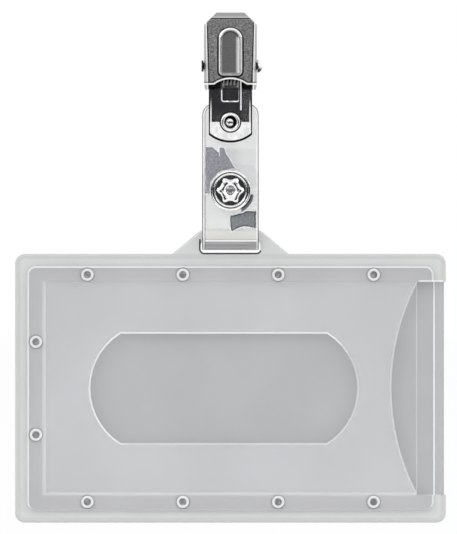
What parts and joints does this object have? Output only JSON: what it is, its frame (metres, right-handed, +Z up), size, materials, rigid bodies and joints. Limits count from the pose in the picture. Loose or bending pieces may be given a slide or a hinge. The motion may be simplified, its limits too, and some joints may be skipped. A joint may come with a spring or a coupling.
{
  "type": "badge holder with strap clip",
  "caption": "Rigid translucent card holder with a thumb window, hung by a clear snap strap from a sprung metal jaw clip.",
  "frame": {"origin": "where the two jaw lips meet at the top of the clip", "axes": "+Z up, the holder hangs along -Z; the open front with the thumb window faces -Y; +X to the viewer's right, towards the card entry"},
  "size_m": [0.1104, 0.0108, 0.1307],
  "materials": {
    "bright_nickel": "bright nickel plate on steel",
    "satin_nickel": "satin nickel plate on steel",
    "spring_steel": "drawn spring wire",
    "clear_vinyl": "clear glossy vinyl",
    "frosted_shell": "translucent moulded plastic, lightly frosted"
  },
  "bodies": {
    "clip": {"lever": "bright_nickel", "pivot_pin": "satin_nickel", "torsion_spring": "spring_steel", "clip_eyelet": "satin_nickel", "clip_rivet": "satin_nickel"},
    "jaw": {"front_jaw": "satin_nickel"},
    "strap": {"strap": "clear_vinyl", "snap_ring": "bright_nickel", "snap_post": "bright_nickel", "snap_socket": "satin_nickel"},
    "flap": {"strap_flap": "clear_vinyl", "snap_stud": "satin_nickel", "snap_cap": "bright_nickel"},
    "holder": {"rear_shell": "frosted_shell", "front_panel": "frosted_shell", "shell_peg_01": "frosted_shell", "shell_peg_02": "frosted_shell", "shell_peg_03": "frosted_shell", "shell_peg_04": "frosted_shell", "shell_peg_05": "frosted_shell", "shell_peg_06": "frosted_shell", "shell_peg_07": "frosted_shell", "shell_peg_08": "frosted_shell", "shell_peg_09": "frosted_shell", "shell_peg_10": "frosted_shell"}
  },
  "joints": [
    {"name": "jaw_pivot", "type": "hinge", "parent": "clip", "child": "jaw", "pos_m": [0, 0, -0.0137], "axis": [1, 0, 0], "range_deg": [0, 25], "stiffness_Nm_per_rad": 0.05, "springref_deg": -28.65, "deforming": ["torsion_spring"]},
    {"name": "strap_swivel", "type": "hinge", "parent": "clip", "child": "strap", "pos_m": [0, 0.0014, -0.028], "axis": [0, 1, 0], "range_deg": [-90, 90]},
    {"name": "flap_fold", "type": "hinge", "parent": "strap", "child": "flap", "pos_m": [0, 0.0054, -0.0582], "axis": [-1, 0, 0], "range_deg": [0, 60]},
    {"name": "holder_swing", "type": "hinge", "parent": "strap", "child": "holder", "pos_m": [0, 0.0031, -0.05715], "axis": [1, 0, 0], "range_deg": [-60, 60]}
  ]
}
